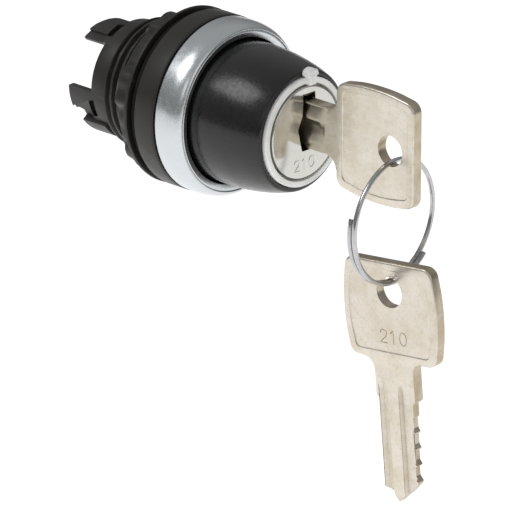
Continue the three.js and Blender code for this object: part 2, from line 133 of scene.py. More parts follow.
def lathe(name, profile, shape=None, facets=FACETS):
    """Turns a closed (radius, y) outline round the axis. shape moves its points by angle."""
    points, faces = [], []
    count = len(profile)
    for i in range(facets):
        angle = 360 * i / facets
        for r, y in profile:
            points.append(round_axis(*(shape(r, y, angle) if shape else (r, y)), angle))
        for j in range(count):
            k, far = (j + 1) % count, (i + 1) % facets * count
            faces.append((i * count + j, i * count + k, far + k, far + j))
    return from_faces(name, points, faces)


def wrapped(name, outline, inner, outer):
    """A solid with an unrolled (angle, y) outline, standing from one radius to another."""
    count = len(outline)
    points = [round_axis(r, y, a) for r in (inner, outer) for a, y in outline]
    faces = [tuple(range(count)), tuple(range(2 * count - 1, count - 1, -1))]
    faces += [(i, (i + 1) % count, (i + 1) % count + count, i + count) for i in range(count)]
    return from_faces(name, points, faces)


def tidy_outline(outline):
    """The outline anticlockwise and without repeated points."""
    outline = [p for i, p in enumerate(outline) if math.dist(p, outline[i - 1]) > 1e-3]
    area = sum(a[0] * b[1] - b[0] * a[1] for a, b in zip(outline, outline[1:] + outline[:1]))
    return outline if area > 0 else outline[::-1]


def inset(outline, amount):
    """An anticlockwise outline moved inward by an amount, or outward by a negative one."""
    out = []
    for i, point in enumerate(outline):
        here = Vector(point)
        before = (here - Vector(outline[i - 1])).normalized()
        after = (Vector(outline[(i + 1) % len(outline)]) - here).normalized()
        lean = Vector((-before.y - after.y, before.x + after.x))
        out.append(tuple(here + lean * amount / (1 + before.dot(after))))
    return out


def stack(name, outline, levels, plane):
    """One outline at several (level, inset) steps. The plane is that of the outline."""
    outline = tidy_outline(outline)
    count = len(outline)
    points = []
    for level, amount in levels:
        for a, b in inset(outline, amount):
            points.append((a, level, b) if plane == "XZ" else (a, b, level))
    faces = [tuple(range(count)), tuple(range(len(points) - 1, len(points) - count - 1, -1))]
    for step in range(len(levels) - 1):
        a, b = step * count, (step + 1) * count
        faces += [(a + j, a + (j + 1) % count, b + (j + 1) % count, b + j) for j in range(count)]
    return from_faces(name, points, faces)


def round_edges(low, high, radius, steps=4):
    """Levels of a slab whose two faces meet its side in quarter-round edges."""
    curve = []
    for i in range(steps + 1):
        turn = math.radians(90 * i / steps)
        curve.append((radius * (1 - math.cos(turn)), radius * (1 - math.sin(turn))))
    return [(low + a, b) for a, b in curve] + [(high - a, b) for a, b in curve[::-1]]


def arc(cx, cy, radius, start, end, steps):
    """Points on an arc, angles in degrees from the first axis."""
    turns = [math.radians(start + (end - start) * i / steps) for i in range(steps + 1)]
    return [(cx + radius * math.cos(t), cy + radius * math.sin(t)) for t in turns]


def apply_modifiers(piece):
    graph = bpy.context.evaluated_depsgraph_get()
    mesh = bpy.data.meshes.new_from_object(piece.evaluated_get(graph))
    piece.modifiers.clear()
    piece.data = mesh


def combine(piece, tool, operation):
    """Joins or cuts a piece with a tool, which is then removed."""
    change = piece.modifiers.new("shape", "BOOLEAN")
    change.operation = operation
    change.solver = "MANIFOLD"
    change.object = tool
    bpy.context.view_layer.update()
    apply_modifiers(piece)
    bpy.data.objects.remove(tool)
    return piece


def cut(piece, *tools):
    for tool in tools:
        combine(piece, tool, "DIFFERENCE")
    return piece


def join(piece, *tools):
    for tool in tools:
        combine(piece, tool, "UNION")
    return piece


def to_metres(piece):
    piece.data.transform(Matrix.Scale(MM, 4))
    piece.data.update()
    return piece


def smooth(piece, angle=32):
    piece.data.polygons.foreach_set("use_smooth", [True] * len(piece.data.polygons))
    piece.data.set_sharp_from_angle(angle=math.radians(angle))
    return piece


# -------------------------------------------------------------------------- materials


class Finish:
    """A node-built material round one Principled shader."""

    def __init__(self, name, color, roughness, metallic=0.0, specular=0.5):
        self.material = bpy.data.materials.new(name)
        self.material.use_nodes = True
        self.tree = self.material.node_tree
        self.shader = self.tree.nodes["Principled BSDF"]
        self.shader.inputs["Base Color"].default_value = (*color, 1)
        self.shader.inputs["Roughness"].default_value = roughness
        self.shader.inputs["Metallic"].default_value = metallic
        self.shader.inputs["Specular IOR Level"].default_value = specular
        self.place = self.node("ShaderNodeTexCoord").outputs["Object"]

    def node(self, kind, **settings):
        made = self.tree.nodes.new(kind)
        for key, value in settings.items():
            if key in made.inputs:
                made.inputs[key].default_value = value
            else:
                setattr(made, key, value)
        return made

    def link(self, source, target):
        self.tree.links.new(source, target)

    def noise(self, scale, detail=3.0, roughness=0.55, stretch=(1, 1, 1)):
        spread = self.node("ShaderNodeMapping")
        spread.inputs["Scale"].default_value = stretch
        self.link(self.place, spread.inputs["Vector"])
        made = self.node("ShaderNodeTexNoise", Scale=scale, Detail=detail, Roughness=roughness)
        self.link(spread.outputs["Vector"], made.inputs["Vector"])
        return made.outputs["Fac"]

    def ramp(self, source, stops):
        """stops is a list of (position, colour or grey level)."""
        made = self.node("ShaderNodeValToRGB")
        ramp = made.color_ramp
        while len(ramp.elements) < len(stops):
            ramp.elements.new(0.5)
        for element, (position, value) in zip(ramp.elements, stops):
            element.position = position
            element.color = (*value, 1) if hasattr(value, "__len__") else (value, value, value, 1)
        self.link(source, made.inputs["Fac"])
        return made.outputs["Color"]

    def mix(self, amount, first, second, blend="MIX"):
        made = self.node("ShaderNodeMix", data_type="RGBA", blend_type=blend)
        factor, a, b = made.inputs[0], made.inputs[6], made.inputs[7]
        for socket, value in ((factor, amount), (a, first), (b, second)):
            if isinstance(value, bpy.types.NodeSocket):
                self.link(value, socket)
            elif hasattr(value, "__len__"):
                socket.default_value = (*value, 1)
            elif socket is factor:
                socket.default_value = value
            else:
                socket.default_value = (value, value, value, 1)
        return made.outputs[2]

    def bump(self, height, strength, distance):
        made = self.node("ShaderNodeBump", Strength=strength, Distance=distance * MM)
        self.link(height, made.inputs["Height"])
        self.link(made.outputs["Normal"], self.shader.inputs["Normal"])

    def crevice_shade(self, reach, low=0.35, high=0.9):
        """A mask for painted shade: bright in grooves and corners, which are closed in within a reach in
        millimetres.
        """
        shade = self.node("ShaderNodeAmbientOcclusion", samples=8, Distance=reach * MM)
        return self.ramp(shade.outputs["AO"], [(low, 1.0), (high, 0.0)])

    def flanks(self):
        """Bright, in blotches, on the sides that do not face along X."""
        split = self.node("ShaderNodeSeparateXYZ")
        self.link(self.tree.nodes["Texture Coordinate"].outputs["Normal"], split.inputs["Vector"])
        across = self.node("ShaderNodeMath", operation="ABSOLUTE")
        self.link(split.outputs["X"], across.inputs[0])
        side = self.ramp(across.outputs[0], [(0.25, 1.0), (0.6, 0.0)])
        return self.mix(side, 0.0, self.ramp(self.noise(260, 4, 0.65), [(0.3, 0.35), (0.62, 1.0)]))

    def edges(self, low=0.52, high=0.6):
        """Bright where the surface bends outward."""
        return self.ramp(self.node("ShaderNodeNewGeometry").outputs["Pointiness"], [(low, 0.0), (high, 1.0)])


def moulded_plastic(name, color, worn, roughness):
    """Plastic with a fine grain, slight tone changes and paler worn edges."""
    made = Finish(name, color, roughness, specular=0.45)
    tone = made.ramp(made.noise(120, 4), [(0.3, [c * 0.82 for c in color]), (0.7, [c * 1.2 for c in color])])
    wear = made.mix(made.edges(), 0.0, made.ramp(made.noise(500, 3), [(0.35, 0.15), (0.7, 0.8)]))
    made.link(made.mix(wear, tone, worn), made.shader.inputs["Base Color"])
    made.link(made.ramp(made.noise(240, 3), [(0.3, roughness * 0.86), (0.7, roughness * 1.14)]),
              made.shader.inputs["Roughness"])
    made.bump(made.noise(1530, 4, 0.65), 0.22, 0.03)
    return made.material


def spark_black():
    """Semi-gloss black plastic with the fine spark texture of its mould."""
    made = Finish("spark_black", (0.008, 0.0078, 0.0076), 0.3, specular=0.5)
    tone = made.ramp(made.noise(150, 4), [(0.3, (0.006, 0.0058, 0.0056)), (0.75, (0.012, 0.0117, 0.0114))])
    made.link(tone, made.shader.inputs["Base Color"])
    made.link(made.ramp(made.noise(1500, 3), [(0.3, 0.18), (0.7, 0.3)]), made.shader.inputs["Roughness"])
    made.bump(made.noise(1900, 2, 0.5), 0.55, 0.025)
    return made.material


def satin_chrome():
    """Bright chrome over a bead-blasted surface."""
    made = Finish("satin_chrome", (0.6, 0.625, 0.64), 0.27, metallic=1.0)
    made.link(made.ramp(made.noise(60, 3), [(0.3, (0.57, 0.6, 0.62)), (0.7, (0.64, 0.66, 0.67))]),
              made.shader.inputs["Base Color"])
    made.link(made.ramp(made.noise(1400, 4), [(0.25, 0.2), (0.75, 0.32)]), made.shader.inputs["Roughness"])
    made.bump(made.noise(2600, 3, 0.6), 0.13, 0.016)
    return made.material


def nickel(name, color, stain, roughness, patina, brush=(1, 1, 1), groove_shade_and_edge_stain=0.0):
    """Nickel plate, stained where it has worn, with painted shade darkening its grooves and corners towards
    a dark brown, and a stain on its cut edges.
    """
    made = Finish(name, color, roughness, metallic=1.0)
    cloud = made.ramp(made.noise(190, 5, 0.7), [(0.44, 0.0), (0.72, patina)])
    speck = made.ramp(made.noise(1500, 4, 0.7), [(0.5, 0.0), (0.8, patina * 0.9)])
    tone = made.mix(speck, made.mix(cloud, color, stain), [c * 0.8 for c in stain])
    if groove_shade_and_edge_stain:
        # painted shade: grooves and corners found by ambient occlusion are darkened towards a dark brown
        tone = made.mix(made.mix(groove_shade_and_edge_stain, 0.0, made.crevice_shade(1.3)), tone, [c * 0.7 for c in stain])
        # a stain on the cut sides, which do not face along X
        tone = made.mix(made.mix(groove_shade_and_edge_stain, 0.0, made.flanks()), tone, [c * 0.75 for c in stain])
    made.link(tone, made.shader.inputs["Base Color"])
    made.link(made.ramp(made.noise(420, 4, 0.6, brush), [(0.3, roughness * 0.8), (0.75, roughness * 1.3)]),
              made.shader.inputs["Roughness"])
    made.bump(made.noise(900, 4, 0.6, brush), 0.12, 0.02)
    return made.material


def rubber():
    made = Finish("gasket_rubber", (0.009, 0.0072, 0.0054), 0.8, specular=0.2)
    made.link(made.ramp(made.noise(300, 4), [(0.3, (0.007, 0.0055, 0.004)), (0.7, (0.013, 0.010, 0.0075))]),
              made.shader.inputs["Base Color"])
    made.bump(made.noise(1500, 3), 0.25, 0.03)
    return made.material


LOOKS = {
    "black_plastic": moulded_plastic(
        "charcoal_plastic", (0.0145, 0.0132, 0.0115), (0.05, 0.046, 0.041), 0.46),
    "black_gloss": spark_black(),
    "satin_chrome": satin_chrome(),
    "rubber": rubber(),
    "white_plastic": moulded_plastic("off_white_plastic", (0.87, 0.875, 0.855), (0.9, 0.9, 0.88), 0.36),
    "polished_nickel": nickel("polished_nickel", (0.60, 0.595, 0.56), (0.5, 0.46, 0.38), 0.13, 0.25),
    # key nickel: painted shade in its grooves and corners, and a stain on its cut sides
    "key_nickel": nickel("key_nickel", (0.685, 0.64, 0.56), (0.5, 0.40, 0.26), 0.3, 0.5, groove_shade_and_edge_stain=0.85),
    "steel": nickel("spring_steel", (0.52, 0.52, 0.535), (0.34, 0.33, 0.31), 0.16, 0.45, (1, 6, 1)),
    "brass": nickel("machined_brass", (0.76, 0.56, 0.26), (0.55, 0.38, 0.16), 0.3, 0.5),
    "natural_plastic": moulded_plastic("natural_plastic", (0.58, 0.55, 0.46), (0.7, 0.68, 0.6), 0.42),
}
SLOT_OF = {row["node"]: row["material_slot"] for row in frame["record"]["subparts"]}


def dress(piece, slot):
    piece.data.materials.clear()
    piece.data.materials.append(LOOKS[slot])


def hand_over(piece, node, body, angle=32):
    """The piece stands for one CAD node, rides on its body and takes its finish."""
    smooth(to_metres(piece), angle)
    dress(piece, SLOT_OF[node])
    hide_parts(node)
    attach(piece, body)
    return piece


# ------------------------------------------------------------------------ camera, stage

CAMERA = {"place": (-0.67730, -0.65722, 0.34234), "azimuth": -46.5, "elevation": 21.44, "lens": 431.66}

FLOOR_GLOW = 0.72
# name, direction from the part, distance and side in metres, power in watts
LIGHTS = (
    ("soft_box", (-0.50, 0.40, 0.74), 1.0, 0.42, 2.1),
    ("side_light", (-0.80, -0.30, 0.50), 0.9, 0.3, 0.25),
    ("front_fill", (-0.15, -0.92, 0.40), 1.1, 0.7, 1.0),
)


def add_camera():
    camera = bpy.data.objects.new("camera", bpy.data.cameras.new("camera"))
    camera.data.lens = CAMERA["lens"]
    camera.data.sensor_width = 36
    camera.data.clip_start = 0.01
    camera.data.clip_end = 10.0
    camera.location = CAMERA["place"]
    camera.rotation_euler = (math.radians(90 - CAMERA["elevation"]), 0, math.radians(CAMERA["azimuth"]))
    bpy.context.scene.collection.objects.link(camera)
    bpy.context.scene.camera = camera


def add_light(name, place, target, size, power):
    lamp = bpy.data.objects.new(name, bpy.data.lights.new(name, "AREA"))
    lamp.data.shape = "RECTANGLE"
    lamp.data.size, lamp.data.size_y = size
    lamp.data.energy = power
    lamp.location = place
    lamp.rotation_euler = (Vector(place) - Vector(target)).to_track_quat("Z", "Y").to_euler()
    bpy.context.scene.collection.objects.link(lamp)


def add_sky():
    """A studio's surroundings: dim at the horizon, a little brighter overhead."""
    world = bpy.data.worlds.new("studio")
    bpy.context.scene.world = world
    world.use_nodes = True
    nodes, links = world.node_tree.nodes, world.node_tree.links
    split = nodes.new("ShaderNodeSeparateXYZ")
    links.new(nodes.new("ShaderNodeTexCoord").outputs["Generated"], split.inputs["Vector"])
    ramp = nodes.new("ShaderNodeValToRGB")
    for element, (position, level) in zip(ramp.color_ramp.elements, ((0.0, 0.2), (0.7, 0.46))):
        element.position = position
        element.color = (level, level, level, 1)
    links.new(split.outputs["Z"], ramp.inputs["Fac"])
    links.new(ramp.outputs["Color"], nodes["Background"].inputs["Color"])
    nodes["Background"].inputs["Strength"].default_value = 1.0


def add_stage():
    """A pale glowing table well below, and three soft lights."""
    pale = Finish("pale_floor", (0.9, 0.9, 0.9), 0.8)
    pale.link(pale.ramp(pale.noise(3), [(0.3, 0.89), (0.7, 0.91)]), pale.shader.inputs["Base Color"])
    pale.shader.inputs["Emission Color"].default_value = (1, 1, 1, 1)
    pale.shader.inputs["Emission Strength"].default_value = FLOOR_GLOW
    size = 6000
    floor = from_faces("floor", [(-size, -size, 0), (size, -size, 0), (size, size, 0), (-size, size, 0)],
                       [(0, 1, 2, 3)])
    to_metres(floor).location.z = -0.45
    floor.data.materials.append(pale.material)

    target = Vector((0, -20, -10)) * MM
    for name, direction, distance, size, power in LIGHTS:
        place = target + Vector(direction).normalized() * distance
        add_light(name, place, target, (size, size), power)


# ------------------------------------------------------------------- fixed turned pieces

BEZEL_RADIUS = radius_of("bezel_ring")
BEZEL_FRONT, BEZEL_REAR = along("bezel_ring")
SEAT_RADIUS = 13.3
LIP_RADIUS = 12.26
THREAD = {"crest": 10.95, "root": 10.25, "pitch": 1.5, "front": 0.4, "rear": 9.4}


def bezel_ring():
    """A rolled trim ring: straight skirt, long round shoulder, thin crest, flat lip."""
    crest, reach = 13.6, 3.1
    roll = [(crest + (BEZEL_RADIUS - crest) * math.cos(t), BEZEL_FRONT + 0.05 + reach * (1 - math.sin(t)))
            for t in (math.radians(6 * i) for i in range(16))]
    skirt = rounded([(SEAT_RADIUS, BEZEL_REAR, 0), (BEZEL_RADIUS - 0.12, BEZEL_REAR, 0.1),
                     (BEZEL_RADIUS, BEZEL_REAR - 0.3, 0.2), (BEZEL_RADIUS, BEZEL_FRONT + reach + 0.3, 0)])
    lip = rounded([(13.38, BEZEL_FRONT + 0.03, 0.15), (LIP_RADIUS, BEZEL_FRONT + 0.3, 0.2),
                   (LIP_RADIUS, -9.0, 0), (SEAT_RADIUS, -9.0, 0)])
    return lathe("bezel_ring_turned", skirt + roll + lip, facets=240)


def thread_form(r, y, angle):
    """Sinks the tube's wall between the crests of its M22 thread."""
    if abs(r - THREAD["crest"]) > 1e-6 or not THREAD["front"] < y < THREAD["rear"]:
        return r, y
    phase = (y / THREAD["pitch"] - angle / 360) % 1
    wave = min(max(abs(phase - 0.5) * 4 - 0.55, 0), 1)
    fade = min((y - THREAD["front"]) / 0.4, (THREAD["rear"] - y) / 0.35, 1)
    return r - (THREAD["crest"] - THREAD["root"]) * wave * fade, y


FIN_CLAW = [(-40.5, 12), (-40.5, 18.7), (-35, 18.55), (-29, 18.35), (-23, 18.08), (-17.5, 17.7),
            (-11, 17.15), (-5.7, 16.4), (-4, 15.7), (-4, 12)]
HOOK_CLAW = [(-91.5, 12), (-91.5, 18.7), (-120.5, 18.7), (-119.3, 18.25), (-118.8, 17.8), (-119.3, 17.4),
             (-120.8, 17.15), (-128.5, 17.1), (-128.5, 12)]
STOP_LUG = [(-128, 12), (-128, 17.1), (-163, 17.1), (-163, 12)]
CLAW_WINDOW = [(-8, 13.1), (-27, 13.1), (-30, 14.3), (-11, 14.3)]
CLAW_STEPS = {
    "fin": [(-31, 14.2), (-31, 19.5), (-45, 19.5), (-45, 14.2)],
    "hook": [(-101.6, 14.45), (-113.5, 18.2), (-118, 19.5), (-135, 19.5), (-135, 14.45)],
}


def turned_by(outline, turn):
    return [(angle + turn, y) for angle, y in outline]


def fine(outline, step=3.0):
    """The same outline with its long stretches round the axis divided."""
    out = []
    for (a, y), (b, z) in zip(outline, outline[1:] + outline[:1]):
        parts = max(1, math.ceil(abs(b - a) / step))
        out += [(a + (b - a) * i / parts, y + (z - y) * i / parts) for i in range(parts)]
    return out


def rear_wall(inner, outer, rear):
    return lathe("wall", [(inner, 11.5), (outer, 11.5), (outer, rear), (inner, rear)])


def body_tube():
    """Flange, threaded tube, groove and collar turned in one, with the claws joined on."""
    tube = THREAD["crest"]
    steps = 110
    run = THREAD["rear"] - THREAD["front"]
    threaded = [(tube, THREAD["front"] + run * i / steps) for i in range(steps + 1)]
    front = rounded([
        (8.5, 13.55, 0), (8.5, -4.2, 0), (9.6, -4.2, 0), (9.6, -6.4, 0), (12.6, -6.4, 0.1),
        (12.6, -8.7, 0.1), (13.0, -8.7, 0.1), (13.0, -5.5, 0), (14.72, -5.5, 0.12), (14.85, -5.1, 0.2),
        (14.85, -1.3, 0.22), (tube, -1.3, 0),
    ], steps=3)
    rear = rounded([
        (10.4, 9.5, 0.15), (9.25, 9.55, 0.1), (9.25, 10.35, 0.1), (9.75, 10.38, 0.12), (9.75, 13.55, 0.15),
        (8.6, 13.55, 0.1),
    ], steps=3)
    body = lathe("body_tube_moulded", front + threaded + rear, thread_form)
    claws = [(turned_by(outline, turn), 9.75, turned_by(CLAW_STEPS[step], turn))
             for turn in (0, 180) for outline, step in ((FIN_CLAW, "fin"), (HOOK_CLAW, "hook"))]
    for outline, outer, step in claws + [(STOP_LUG, 10.3, None)]:
        claw = combine(rear_wall(8.6, outer, 19.0), wrapped("claw", fine(outline), 5, 16), "INTERSECT")
        if step:
            cut(claw, wrapped("relief", fine(step), 9.3, 16))
        join(body, claw)
    for edge in (-4, 176, -91.5, 88.5):
        cut(body, wrapped("window", fine(turned_by(CLAW_WINDOW, edge)), 9.0, 14))
    return body


def panel_gasket():
    front, rear = along("panel_gasket")
    outer = radius_of("panel_gasket")
    return lathe("panel_gasket_moulded", rounded([
        (11.3, front, 0), (outer, front, 0.25), (outer, rear, 0.25), (11.3, rear, 0)]))


def clamp_washer():
    front, rear = along("clamp_washer")
    outer = radius_of("clamp_washer")
    return lathe("clamp_washer_pressed", rounded([
        (11.3, front, 0.1), (outer, front, 0.12), (outer, rear, 0.12), (11.3, rear, 0.1)]))


NUT = {"root": 13.1, "ledge": 4.7, "crown": 12.35, "lobe": 13.95, "first": -13, "top": 10, "foot": 17}
NUT_FRONT, NUT_REAR = along("clamp_nut")


def nut_form(r, y, angle):
    """Six grip lobes, which also stand past the rear face, and fine ribs round the rim."""
    offset = abs((angle - NUT["first"] + 30) % 60 - 30)
    rise = min(max((NUT["foot"] - offset) / (NUT["foot"] - NUT["top"]), 0), 1)
    rise = rise * rise * (3 - 2 * rise)
    if r > NUT["crown"] + 0.2:
        r += (NUT["lobe"] - NUT["root"]) * rise - 0.13 * (1 + math.cos(math.radians(24 * angle)))
    if r > NUT["crown"] and y > NUT["ledge"] - 0.3:
        y += (NUT_REAR - NUT["ledge"]) * rise
    return r, y


def clamp_nut():
    ledge, crown = NUT["ledge"], NUT["crown"]
    rim = rounded([(11.3, NUT_FRONT, 0.2), (NUT["root"], NUT_FRONT, 0.2), (NUT["root"], ledge, 0.2)])
    return lathe("clamp_nut_moulded", rim + [
        (crown + 0.05, ledge), (crown - 0.05, ledge), (12.0, ledge), (11.8, ledge - 0.35),
        (11.3, ledge - 0.35)], nut_form, 360)


# ------------------------------------------------------------------- turning front pieces


def selector_cone():
    """The bullet-shaped knob: a shallow curve down to a rounded front rim."""
    outside = [(11.7, -7.6), (11.75, -8.2), (11.85, -11.1), (11.95, -13.5), (11.88, -15.5), (11.72, -17.5),
               (11.48, -19.2), (11.17, -21.0), (10.83, -22.5), (10.5, -23.6)]
    curve = []
    for i in range(len(outside) - 1):
        p0, p1 = Vector(outside[max(i - 1, 0)]), Vector(outside[i])
        p2, p3 = Vector(outside[i + 1]), Vector(outside[min(i + 2, len(outside) - 1)])
        for step in range(4):
            t = step / 4
            curve.append(tuple(0.5 * (2 * p1 + (p2 - p0) * t + (2 * p0 - 5 * p1 + 4 * p2 - p3) * t * t
                                      + (3 * p1 - p0 - 3 * p2 + p3) * t ** 3)))
    rim = rounded([(10.5, -23.6, 0), (10.1, -24.78, 0.55), (9.35, -24.8, 0.12), (9.35, -22.7, 0)], steps=6)
    inside = [(8.3, -22.7), (8.3, -21.2), (9.4, -20.2), (10.45, -7.6)]
    return lathe("selector_cone_moulded", curve + rim + inside, facets=240)


POINTER = {"centre": 0.9, "stem": 0.72, "head": 1.28, "front": -26.5, "back": -24.82, "top": 10.9}


def index_ring():
    """A flat ring with rounded edges, and a raised pointer with a hammer head."""
    band = lathe("index_ring_moulded", rounded([
        (8.2, -25.4, 0.12), (9.2, -25.4, 0.16), (9.2, -23.0, 0), (7.2, -23.0, 0), (7.2, -23.3, 0),
        (8.2, -23.3, 0)], steps=4))
    p = POINTER
    c = p["centre"]
    outline = rounded([
        (c - p["stem"], 8.1, 0), (c - p["stem"], 9.5, 0.4), (c - p["head"], p["top"] - 1.35, 0.5),
        (c - p["head"] + 0.25, p["top"] - 0.35, 0.6), (c, p["top"], 1.0),
        (c + p["head"] - 0.25, p["top"] - 0.35, 0.6), (c + p["head"], p["top"] - 1.35, 0.5),
        (c + p["stem"], 9.5, 0.4), (c + p["stem"], 8.1, 0)], steps=5)
    tab = stack("tab", outline, round_edges(p["front"], p["back"], 0.28), "XZ")
    return join(band, tab)


KEY = {
    "thickness": 2.15, "hole": 2.6, "bow_end": -5.1, "bow_front": 11.6, "side": 9.65, "corner": 8.75,
    "shoulder": 18.0, "shoulder_half": 4.0, "tip": 36.0, "edge": 3.5,
}
KEY_PLACE = (0.85, -43.9, 1.5)
NUMBER = "210"
STROKES = {
    "0": [[(0.5 + 0.5 * math.cos(t * math.pi / 8), 0.8 + 0.8 * math.sin(t * math.pi / 8))
           for t in range(17)]],
    "1": [[(0.12, 1.25), (0.42, 1.55)], [(0.5, 1.6), (0.5, 0.0)]],
    "2": [[(0.02, 1.2), (0.12, 1.48), (0.5, 1.6), (0.88, 1.48), (0.98, 1.15), (0.8, 0.75),
           (0.0, 0.0), (1.0, 0.0)]],
}


def engraving(place, height, across, upward, inward, depth=0.09, pen=0.1):
    """Tools that cut NUMBER, centred on a place. across, upward and inward are directions."""
    scale = height / 1.6
    advance = 1.45 * scale
    start = -advance * len(NUMBER) / 2 + 0.2 * scale
    tools = []
    for i, digit in enumerate(NUMBER):
        for stroke in STROKES[digit]:
            line = [place + across * (start + i * advance + x * scale) + upward * (y * scale - height / 2)
                    for x, y in stroke]
            tools.append(pen_stroke(line, inward, pen, depth))
    return tools


def pen_stroke(line, inward, pen, depth):
    """A wedge-shaped trough along a line or a loop, standing proud of the surface it cuts."""
    closed = (line[0] - line[-1]).length < 1e-6
    if closed:
        line = line[:-1]
    count = len(line)
    points, faces = [], []
    for i, here in enumerate(line):
        before = line[i - 1] if closed or i else here
        after = line[(i + 1) % count] if closed or i < count - 1 else here
        ahead = (after - before).normalized()
        if before is here or after is here:
            here = here + ahead * (pen * (0.6 if after is here else -0.6))
        side = ahead.cross(inward).normalized() * pen
        points += [here + side * 1.6 - inward * 0.1, here - side * 1.6 - inward * 0.1,
                   here - side * 0.35 + inward * depth, here + side * 0.35 + inward * depth]
    for i in range(count if closed else count - 1):
        a, b = 4 * i, 4 * ((i + 1) % count)
        faces += [(a + j, a + (j + 1) % 4, b + (j + 1) % 4, b + j) for j in range(4)]
    if not closed:
        faces += [(0, 1, 2, 3), tuple(range(len(points) - 1, len(points) - 5, -1))]
    return from_faces("number", points, faces)


def lock_plug():
    """Polished face with a chamfered rim, the shaped keyway and a number."""
    body = lathe("lock_plug_turned", rounded([
        (0, -25.5, 0), (7.76, -25.5, 0.22), (7.76, -23.6, 0), (6.9, -23.6, 0), (6.9, -5.0, 0.1),
        (4.2, -5.0, 0), (4.2, -3.5, 0), (3.6, -3.5, 0), (3.6, -2.6, 0), (2.9, -2.6, 0), (2.9, 0.4, 0.2),
        (0, 0.4, 0)], steps=4))
    x = KEY_PLACE[0]
    right = x + KEY["thickness"] / 2 + 0.3
    mouth = rounded([
        (-0.5, 5.4, 0), (-0.7, 2.9, 0.5), (-1.12, 2.0, 0.4), (-1.74, 0.7, 0.4),
        (-1.5, -0.1, 0.3), (-1.1, -1.9, 0.4), (-0.78, -3.05, 0.2), (right - 0.2, -3.1, 0.2),
        (right, 2.0, 0.5), (right, 5.4, 0)], steps=4)
    slot_top = rounded([(-0.7, 6.5, 0.2), (-0.5, 5.3, 0), (right, 5.3, 0), (right, 6.5, 0.2)])
    cut(body, stack("mouth", mouth, [(-25.8, -0.3), (-25.42, 0), (-7.4, 0)], "XZ"),
        stack("slot_top", slot_top, [(-25.8, -0.3), (-25.42, 0), (-23.9, 0)], "XZ"))
    return cut(body, *engraving(Vector((-0.3, -25.5, -5.25)), 1.9, Vector((1, 0, 0)),
                                Vector((0, 0, 1)), Vector((0, 1, 0))))


# --------------------------------------------------------------------------------- keys


def key_side(sign, inset=0.0):
    """One barrel-shaped long side of the bow, from the tip end to the outer end."""
    k = KEY
    first, last = k["bow_front"] - inset, k["bow_end"] + inset
    corner, side = k["corner"] - inset, k["side"] - inset
    middle, half = (first + last) / 2, (first - last) / 2
    points = []
    for i in range(13):
        u = first + (last - first) * i / 12
        bulge = 1 - ((u - middle) / half) ** 2
        points.append((u, sign * (corner + (side - corner) * bulge)))
    return points


def bow_outline(amount=0.0, corner=1.9):
    """The bow's barrel-sided outline, anticlockwise in (u, v)."""
    sides = key_side(-1, amount)[::-1] + key_side(1, amount)
    beside_corner = (1, 2, 10, 11)
    return rounded([(u, v, corner if i % 13 in (0, 12) else 0)
                    for i, (u, v) in enumerate(sides) if i % 13 not in beside_corner], steps=8)


def blade_outline():
    """Anticlockwise in (u, v): u runs from the bow to the tip, v to the cut edge."""
    k = KEY
    s, e, tip, root = k["shoulder_half"], k["edge"], k["tip"], k["bow_front"] - 1.5
    front = k["bow_front"] - 0.02
    low_root = arc(front + 2.2, -s - 2.2, 2.2, 180, 90, 8)
    high_root = arc(front + 1.4, s + 1.4, 1.4, 270, 180, 6)
    points = [(root, -s - 2.2, 0)] + [(u, v, 0) for u, v in low_root]
    points += [(k["shoulder"], -s, 0.25), (k["shoulder"] + 0.3, -e, 0.3), (tip - 2.2, -e, 0.5),
               (tip - 1.35, -1.6, 0.3), (tip - 0.02, -0.75, 0.25), (tip - 3.9, e, 0.6)]
    for u, v in ((30.4, 2.7), (27.6, 2.9), (24.8, 3.0), (22.0, 3.05)):
        points += [(u + 1.3, e, 0.3), (u + 0.8, v, 0.3), (u - 0.8, v, 0.3), (u - 1.3, e, 0.3)]
    points += [(k["shoulder"] + 0.6, e, 0.3), (k["shoulder"], s, 0.3)]
    points += [(u, v, 0) for u, v in high_root] + [(root, s + 1.4, 0)]
    return rounded(points, steps=4)


def groove_tool(sections, face, run_out, wheel=4.5):
    """A milled groove seen end-on as a list of (v, depth), its floor rising round a wheel."""
    tip = KEY["tip"] + 1
    depth_scale = max(d for _, d in sections)
    reach = math.sqrt(wheel ** 2 - (wheel - depth_scale) ** 2)
    half = KEY["thickness"] / 2
    stations = [tip] + [run_out + reach * (1 - i / 12) for i in range(13)]
    points, faces = [], []
    count = len(sections) + 2
    for u in stations:
        s = max(run_out + reach - u, 0)
        lift = wheel - math.sqrt(max(wheel ** 2 - s * s, 0))
        ring = [(u, sections[0][0], 0.6)] + [
            (u, v, -max(d - lift, -0.02)) for v, d in sections] + [(u, sections[-1][0], 0.6)]
        points += [(a, b, face * (half + c)) for a, b, c in ring]
    for i in range(len(stations) - 1):
        a, b = i * count, (i + 1) * count
        faces += [(a + j, a + (j + 1) % count, b + (j + 1) % count, b + j) for j in range(count)]
    faces += [tuple(range(count)), tuple(range(len(points) - 1, len(points) - count - 1, -1))]
    return from_faces("groove", points, faces)


